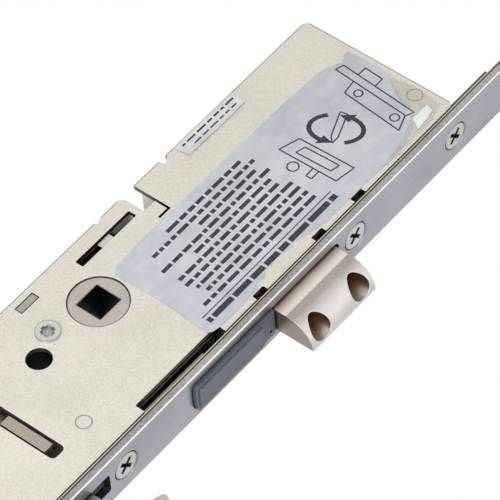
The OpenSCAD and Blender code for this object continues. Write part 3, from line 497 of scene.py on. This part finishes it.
# Nodes whose surface differs from the rest of their slot
NODE_LOOKS = {
    "near_follower": follower_metal("follower_nickel", (180, 173, 166), (207, 199, 192)),
    "latch_head": latch_metal("latch_nickel"),
    "hook": cast_metal("hook_nickel", (182, 175, 168), (206, 199, 192), roughness=0.36, grain=0.3),
    # Dark rim round the head: painted shade of the gap; the cross recess painted dark as shade and dirt
    "faceplate_screws": cast_metal(
        "screw_nickel", (176, 174, 174), (210, 208, 207),
        roughness=0.28, grain=0.2, recess_shading=(84, 80, 76), rim=(92, 90, 90), rim_width=0.5,
    ),
    # Dark rim round the head: painted shade; the star recess painted only a little darker, as its shade
    "case_screws": cast_metal(
        "star_nickel", (196, 195, 190), (220, 219, 214),
        roughness=0.3, grain=0.2, recess_shading=(150, 148, 143), own=True, rim=(92, 90, 86), rim_width=0.6,
    ),
    "return_slide": follower_metal(
        "slide_nickel", (196, 194, 190), (220, 218, 214), face_start=6.1, rim=(226, 224, 220)
    ),
    "drive_slide": cast_metal(
        "slide_steel", (92, 80, 64), (118, 104, 86), roughness=0.4, recess_shading=(56, 48, 38)
    ),
    # Pale tones and a pale recess colour: painted light on a rail that lies in the shade of its slot
    "lower_rail": cast_metal(
        "rail_steel", (202, 194, 178), (228, 220, 206), roughness=0.4, recess_shading=(178, 168, 148)
    ),
    "locking_bar": sheet_metal(
        "bar_steel", (164, 153, 138), (188, 178, 164), roughness=0.46, metallic=0.7
    ),
    # Recesses and cut sides painted pale: painted light on a wall that lies in shade; edges painted darker
    "case_wall": sheet_metal(
        "wall_steel", (160, 158, 151), (184, 182, 175),
        roughness=0.46, metallic=0.55, rim=(70, 67, 62), recess_shading=(196, 194, 188), cut=(230, 226, 214),
    ),
    "pillar_rivets": sheet_metal(
        "rivet_steel", (214, 211, 200), (236, 233, 224),
        roughness=0.42, metallic=0.42, own=True, rim=(84, 81, 75), rim_width=0.9, rim_share=0.95,
    ),
    # Near black all over: painted shade, so that the bore of the bush reads dark
    "handle_bush": brushed_metal("bush_shade_steel", (20, 19, 18), (34, 32, 30), roughness=0.5, run="y"),
}
NODE_LOOKS["far_follower"] = NODE_LOOKS["near_follower"]

for subpart in frame["record"]["subparts"]:
    node = subpart["node"]
    material = NODE_LOOKS.get(node, MATERIALS[subpart["material_slot"]])
    nodes[node].data.materials.clear()
    nodes[node].data.materials.append(material)


def add_piece(name, vertices, faces, material, body):
    """A mesh piece that rides on a body, from points in metres."""
    mesh = bpy.data.meshes.new(name)
    mesh.from_pydata(vertices, [], faces)
    mesh.materials.append(material)
    mesh.polygons.foreach_set("use_smooth", [True] * len(mesh.polygons))
    mesh.update()
    piece = bpy.data.objects.new(name, mesh)
    bpy.context.scene.collection.objects.link(piece)
    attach(piece, body)
    return piece


# Films on the cover, laid out by depth behind the faceplate front and height, in millimetres
COVER_Y = PLATE_LOW.y
FILM_LIFT = 0.05
PRINT_LIFT = 0.02
CORNER_LIFT = 0.05
FOLD_LIFT = 0.12

# Crinkles of the films, in millimetres: lengths along depth and height, and how high they rise
WAVE_LENGTHS = (9, 14)
WAVE_RISE = 0.05
CREASE_LENGTHS = (2.6, 4.2)
CREASE_RISE = 0.035

# Added to the noise of the waves, so that they cover most of a film
WAVE_ADDED = 0.3

# Slices of the noise, one for each kind of crinkle
WAVE_SLICE = 0.0
CREASE_SLICE = 5.0
CURL_SLICE = 2.0

# Meshing of a film: only what lies inside its outline, with points this close in millimetres made one
INSIDE_ONLY = 1
WELD = 0.01


def on_cover(depth, height, lift):
    """A point over the cover, in metres."""
    return Vector((FRONT - depth * MM, COVER_Y - lift * MM, height * MM))


def crinkle(depth, height, lengths, level):
    """Noise with lengths along depth and height, from one slice of it."""
    return noise.noise(Vector((depth / lengths[0], height / lengths[1], level)))


def film_lift(depth, height):
    """Height of the crinkled film over the cover."""
    waves = crinkle(depth, height, WAVE_LENGTHS, WAVE_SLICE)
    creases = crinkle(depth, height, CREASE_LENGTHS, CREASE_SLICE)
    return FILM_LIFT + WAVE_RISE * max(0.0, waves + WAVE_ADDED) + CREASE_RISE * max(0.0, creases)


def film_piece(name, outline, lift, material, step=1.5):
    """A film with an outline of (depth, height) points, meshed finely enough to crinkle."""
    depths, heights = zip(*outline)
    points = [Vector(p) for p in outline]
    edges = [(i, (i + 1) % len(outline)) for i in range(len(outline))]
    columns = int((max(depths) - min(depths)) / step)
    rows = int((max(heights) - min(heights)) / step)
    inner = [
        Vector((min(depths) + (column + 0.5) * step, min(heights) + (row + 0.5) * step))
        for column in range(columns)
        for row in range(rows)
    ]
    flat, _, faces, _, _, _ = delaunay_2d_cdt(points + inner, edges, [], INSIDE_ONLY, WELD)
    vertices = [on_cover(p.x, p.y, lift(p.x, p.y)) for p in flat]
    return add_piece(name, vertices, faces, material, "case")


def torn(points, seed, reach=0.5, step=0.9):
    """A line of points broken up into a ragged tear."""
    jitter = random.Random(seed)
    ragged = []
    for start, end in zip(points, points[1:]):
        a, b = Vector(start), Vector(end)
        count = max(1, round((b - a).length / step))
        for i in range(count):
            p = a.lerp(b, i / count)
            ragged.append((p.x + jitter.uniform(-reach, reach), p.y + jitter.uniform(-reach, reach)))
    return ragged


# Large label, torn at its front edge and at its upper front corner
FRONT_TEAR = [
    (5.4, 27), (6.8, 29), (5.8, 31), (7.6, 33.5), (6.8, 35.5),
    (8.2, 37), (7.6, 39.5), (6.8, 42), (7.2, 45), (5.2, 50),
]
CORNER_TEAR = [(4.5, 80), (5.0, 86.5), (7.6, 94), (10, 96.6), (14, 97.9), (18.4, 99.8), (22.1, 102.2)]
LABEL_TOP = [(22.4, 103.2), (27, 103.3), (31, 103.4), (35, 103.2), (36.8, 102.9), (36.9, 101.8)]
LABEL_BACK = [
    (35.7, 99.2), (37.1, 96.1), (38.4, 92.6), (38.5, 88.3), (39.0, 80),
    (39.0, 72), (39.2, 45), (39.2, 20), (38.6, 11), (37.4, 9.2),
]
LABEL_BOTTOM = [(35, 8.9), (30, 9.3), (22, 9.4), (12, 8.8)]
LABEL_OUTLINE = (
    [(7, 8.4), (5.6, 9.4), (5.0, 12), (5.0, 20)]
    + torn(FRONT_TEAR, seed=3, reach=0.35)
    + [(5.0, 54), (4.9, 72)]
    + torn(CORNER_TEAR, seed=8, reach=0.4)
    + LABEL_TOP
    + LABEL_BACK
    + LABEL_BOTTOM
)
label = film_piece("printed_label", LABEL_OUTLINE, film_lift, MATERIALS["film"])
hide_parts("instruction_label")

# Clear film that the torn corner has left on the cover, and the fold in it, which a near-white film paints as
# a reflection
CLEAR_EDGE = [
    (4.4, 76), (4.0, 84), (4.0, 91), (4.4, 98),
    (5.4, 102.4), (9.3, 103.2), (16.7, 103.4), (21.7, 103.3),
]
CLEAR_INNER = [(21.4, 101), (16, 98), (11, 96.6), (8.6, 93.5), (6.4, 87), (5.2, 80)]
CLEAR_OUTLINE = torn(CLEAR_EDGE + CLEAR_INNER + CLEAR_EDGE[:1], seed=5, reach=0.3)
film_piece("clear_corner", CLEAR_OUTLINE, lambda d, h: film_lift(d, h) + CORNER_LIFT, CLEAR_FILM)

FOLD_OUTLINE = torn([(8.6, 94.6), (8.5, 100.6), (5.9, 99.6), (5.1, 92.5), (8.6, 94.6)], seed=13, reach=0.2)
film_piece(
    "clear_fold_highlight", FOLD_OUTLINE, lambda d, h: film_lift(d, h) + FOLD_LIFT, FOLD_HIGHLIGHT_FILM, step=0.8
)

# Printed bars, in millimetres: shortest bar, gap between two bars, and what stays bare at the end of a line
BAR_SHORTEST = 1.2
BAR_GAP = 0.75
LINE_REST = 1

# Steps along a printed arrow and round a printed ring
ARROW_STEPS = 24
RING_STEPS = 12

# Head of an arrow: the angle that it takes up, in degrees, and half its width, in widths of the line
HEAD_ANGLE = 30
HEAD_WIDTH = 1.3


class Print:
    """Ruled bars, arrows and outlines printed on a film, gathered into one mesh."""

    def __init__(self, lift):
        self.lift = lift
        self.vertices = []
        self.faces = []

    def point(self, depth, height):
        """Adds a point over the film and gives its number."""
        self.vertices.append(on_cover(depth, height, self.lift(depth, height) + PRINT_LIFT))
        return len(self.vertices) - 1

    def band(self, pairs):
        """Adds the faces between pairs of points."""
        self.faces += [(p[0], p[1], q[1], q[0]) for p, q in zip(pairs, pairs[1:])]

    def stroke(self, points, width, step=0.8):
        """A line of a width through (depth, height) points."""
        for start, end in zip(points, points[1:]):
            a, b = Vector(start), Vector(end)
            side = (b - a).normalized().orthogonal() * width / 2
            count = max(1, round((b - a).length / step))
            line = [a.lerp(b, i / count) for i in range(count + 1)]
            self.band([(self.point(*(p - side)), self.point(*(p + side))) for p in line])

    def words(self, depth, top, bottom, width, longest, seed):
        """A ruled line that is broken into bars."""
        lengths = random.Random(seed)
        height = top
        while height > bottom + LINE_REST:
            end = max(bottom, height - lengths.uniform(BAR_SHORTEST, longest))
            self.stroke([(depth, height), (depth, end)], width)
            height = end - BAR_GAP

    def arrow(self, centre, radii, tilt, start, end, width):
        """An arrow along a tilted ellipse from one angle to another, in degrees."""
        turned = Matrix.Rotation(math.radians(tilt), 2)

        def at(angle, grow=0.0):
            a = math.radians(angle)
            offset = turned @ Vector(((radii[0] + grow) * math.cos(a), (radii[1] + grow) * math.sin(a)))
            return (centre[0] + offset.x, centre[1] + offset.y)

        angles = [start + (end - start) * i / ARROW_STEPS for i in range(ARROW_STEPS + 1)]
        self.band([(self.point(*at(a, -width / 2)), self.point(*at(a, width / 2))) for a in angles])
        flare = HEAD_WIDTH * width
        tip = at(end + math.copysign(HEAD_ANGLE, end - start))
        self.faces.append(tuple(self.point(*p) for p in (at(end, -flare), at(end, flare), tip)))

    def ring(self, centre, radius, width):
        """A circle."""
        angles = [math.radians(360 / RING_STEPS * i) for i in range(RING_STEPS + 1)]
        circle = [(centre[0] + radius * math.cos(a), centre[1] + radius * math.sin(a)) for a in angles]
        self.stroke(circle, width)

    def piece(self, name, slot):
        """The print as a piece on the case."""
        return add_piece(name, self.vertices, self.faces, INK, "case")


# Printed block: a heavy line, a rule and ten broken lines, each with its upper and lower end
FIRST_LINE = 12.7
LINE_PITCH = 2.54
LINES = [
    (59.4, 14.9), (59.4, 19.1), (59.4, 18.2), (59.4, 15.6), (56.9, 17.3),
    (56.9, 26.6), (59.4, 16.7), (56.9, 32.7), (59.4, 19.0), (56.9, 26.2),
]
label_print = Print(film_lift)
label_print.words(depth=8.5, top=62.7, bottom=11.5, width=1.7, longest=9.0, seed=1)
label_print.stroke([(10.4, 62.9), (10.4, 11.4)], width=0.32)
for index, (top, bottom) in enumerate(LINES):
    depth = FIRST_LINE + index * LINE_PITCH
    label_print.words(depth, top, bottom, width=1.15, longest=4.6, seed=20 + index)

# Sketch: two turning arrows round a rod, with angles in degrees, and plain outlines above and below
SKETCH_LINE = 0.4
ARROW_LINE = 1.3
ARROW_CENTRE = (22.4, 80.2)
ARROW_RADII = (7.2, 4.8)
ARROW_TILT = -27
ARROW_ENDS = ((65, -60), (245, 120))
SKETCH_OUTLINES = {
    "rod": [(25.2, 85.4), (23.2, 85.9), (20.2, 78.2), (20.2, 75.8), (21.9, 77.4), (25.2, 85.4)],
    "upper bar": [(35.4, 96.2), (34.6, 98.6), (9.6, 96.6), (10.6, 94.4), (35.4, 96.2)],
    "block above the bar": [(29.4, 98.2), (29.4, 101.2), (23.4, 100.8), (23.4, 97.8)],
    "plate below the bar": [(29, 95.6), (28.4, 91.2), (9, 89.4), (10.8, 94.3)],
    "lower frame": [(28, 72), (10.4, 72.6), (11.4, 66.4), (30, 66), (28, 72)],
    "window in the frame": [(25, 70.6), (14, 71), (14.6, 68.2), (25.8, 67.8), (25, 70.6)],
    "stem below the frame": [(17, 66.2), (17, 63.2), (18.8, 63.2), (18.8, 66.2)],
}
SKETCH_RINGS = (((25.4, 93.2), 1.2), ((12.6, 92.2), 1.3), ((23.4, 63.6), 1.6))
for start, end in ARROW_ENDS:
    label_print.arrow(ARROW_CENTRE, ARROW_RADII, ARROW_TILT, start, end, ARROW_LINE)
for outline in SKETCH_OUTLINES.values():
    label_print.stroke(outline, SKETCH_LINE)
for centre, radius in SKETCH_RINGS:
    label_print.ring(centre, radius, SKETCH_LINE)
label_print.piece("label_print", "film")

# White strip on the back edge: its sides and ends, and the curl along its inner side, in millimetres
STRIP_LOW, STRIP_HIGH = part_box("inspection_label")
STRIP_DEPTHS = ((FRONT - STRIP_HIGH.x) / MM, (FRONT - STRIP_LOW.x) / MM)
STRIP_HEIGHTS = (STRIP_LOW.z / MM, STRIP_HIGH.z / MM)
CURL_WIDTH = 2.2
CURL_RISE = 0.5

# Curl along the strip: its mean share, how far it varies, and the lengths of that, in millimetres
CURL_SHARE = 0.6
CURL_VARIES = 0.4
CURL_LENGTHS = (6, 6)


def strip_lift(depth, height):
    """Height of the curled strip over the cover."""
    curl = max(0.0, 1 - (depth - STRIP_DEPTHS[0]) / CURL_WIDTH) ** 2
    along = CURL_SHARE + CURL_VARIES * crinkle(0.0, height, CURL_LENGTHS, CURL_SLICE)
    return FILM_LIFT + CURL_RISE * curl * along


def strip_outline(low_skew=0.4, high_skew=0.3, tear_inset=1):
    """The strip, with both ends cut a little askew and its inner side torn."""
    inner, outer = STRIP_DEPTHS
    low, high = STRIP_HEIGHTS
    corners = [(inner, low + low_skew), (outer, low), (outer, high - high_skew), (inner + high_skew, high)]
    return corners + torn([(inner, high - tear_inset), (inner, low + tear_inset)], seed=11, reach=0.15)


strip = film_piece(
    "inspection_strip", strip_outline(), strip_lift, MATERIALS["white_film"], step=0.8
)
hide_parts("inspection_label")

# Lines of print on the strip, in millimetres: depth from its inner side, gaps at its ends, width, longest bar
STRIP_LINES = ((1.7, 2, 3, 0.5, 3.2), (3.6, 1, 2, 0.6, 4.2))
strip_print = Print(strip_lift)
for index, (inset, top_gap, low_gap, width, longest) in enumerate(STRIP_LINES):
    top = STRIP_HEIGHTS[1] - top_gap
    bottom = STRIP_HEIGHTS[0] + low_gap
    strip_print.words(STRIP_DEPTHS[0] + inset, top, bottom, width, longest, seed=41 + index)
strip_print.piece("strip_print", "white_film")

# Springs: points along a turn and round the wire, and the share of the wire's length in each closed end
TURN_STEPS = 24
WIRE_SIDES = 10
CLOSED_END = 0.08


def spring_piece(name, node, axis, wire, turns):
    """A compression spring with closed ends that takes the room of its node."""
    low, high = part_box(node)
    along = "xyz".index(axis)
    first, second = (along + 1) % 3, (along + 2) % 3
    centre = (low + high) / 2
    length = high[along] - low[along]
    half_wire = wire * MM / 2
    radius = (high[first] - low[first]) / 2 - half_wire
    steps = TURN_STEPS * turns
    vertices = []
    for i in range(steps + 1):
        share = i / steps
        risen = min(1.0, max(0.0, (share - CLOSED_END) / (1 - 2 * CLOSED_END)))
        angle = 2 * math.pi * turns * share
        rise = low[along] + half_wire + (length - 2 * half_wire) * risen
        for k in range(WIRE_SIDES):
            turn = 2 * math.pi * k / WIRE_SIDES
            out = radius + half_wire * math.cos(turn)
            point = Vector((0.0, 0.0, 0.0))
            point[along] = rise + half_wire * math.sin(turn)
            point[first] = centre[first] + out * math.cos(angle)
            point[second] = centre[second] + out * math.sin(angle)
            vertices.append(point)
    rings = [range(i * WIRE_SIDES, (i + 1) * WIRE_SIDES) for i in range(steps + 1)]
    faces = [
        (here[k], here[(k + 1) % WIRE_SIDES], after[(k + 1) % WIRE_SIDES], after[k])
        for here, after in zip(rings, rings[1:])
        for k in range(WIRE_SIDES)
    ]
    faces += [tuple(rings[0])[::-1], tuple(rings[-1])]
    piece = add_piece(name, vertices, faces, MATERIALS["spring_steel"], "case")
    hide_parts(node)
    anchor = Vector(centre)
    anchor[along] = low[along]
    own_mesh(piece)


spring_piece("latch_coil", "latch_spring", "x", wire=0.8, turns=11)
spring_piece("return_coil", "return_spring", "z", wire=0.5, turns=15)


def add_lamp(name, place, width, power):
    """A round lamp that points at the middle of the frame."""
    light = bpy.data.lights.new(name, "AREA")
    light.shape = "DISK"
    light.size = width
    light.energy = power
    lamp = bpy.data.objects.new(name, light)
    lamp.location = place
    lamp.rotation_euler = (-Vector(place)).to_track_quat("-Z", "Y").to_euler()
    bpy.context.scene.collection.objects.link(lamp)


for name, (place, width, power) in LAMPS.items():
    add_lamp(name, place, width, power)


def add_floor():
    """A pale floor, most of which glows to the eye."""
    half = FLOOR_SIZE / 2
    corners = [(-half, -half, FLOOR_Z), (half, -half, FLOOR_Z), (half, half, FLOOR_Z), (-half, half, FLOOR_Z)]
    mesh = bpy.data.meshes.new("floor")
    mesh.from_pydata(corners, [], [(0, 1, 2, 3)])
    look = Look("pale_floor", Metallic=0.0, Roughness=0.8)
    pale = look.tones(look.grain(40), (248, 248, 248), (251, 251, 251), spread=0.2)
    look.paint(pale)
    look.glow(pale, FLOOR_GLOW)
    mesh.materials.append(look.material)
    floor = bpy.data.objects.new("floor", mesh)
    bpy.context.scene.collection.objects.link(floor)


add_floor()


def light_world():
    """White to the eye and in reflections, and softer as a light."""
    world = bpy.data.worlds.new("studio")
    world.use_nodes = True
    tree = world.node_tree
    background = tree.nodes["Background"]
    background.inputs["Color"].default_value = (1.0, 1.0, 1.0, 1.0)
    strength = scaled(tree, seen_share(tree), 0.0, 1.0, low=AMBIENT)
    tree.links.new(strength, background.inputs["Strength"])
    bpy.context.scene.world = world


light_world()

camera_data = bpy.data.cameras.new("photo_camera")
camera_data.lens = CAMERA_LENS
camera_data.sensor_width = CAMERA_SENSOR
camera_data.clip_end = CAMERA_REACH
camera = bpy.data.objects.new("photo_camera", camera_data)
camera.location = [value * MM for value in CAMERA_PLACE]
camera.rotation_euler = [math.radians(angle) for angle in CAMERA_TURN]
bpy.context.scene.collection.objects.link(camera)
bpy.context.scene.camera = camera
bpy.context.scene.view_settings.view_transform = "Standard"
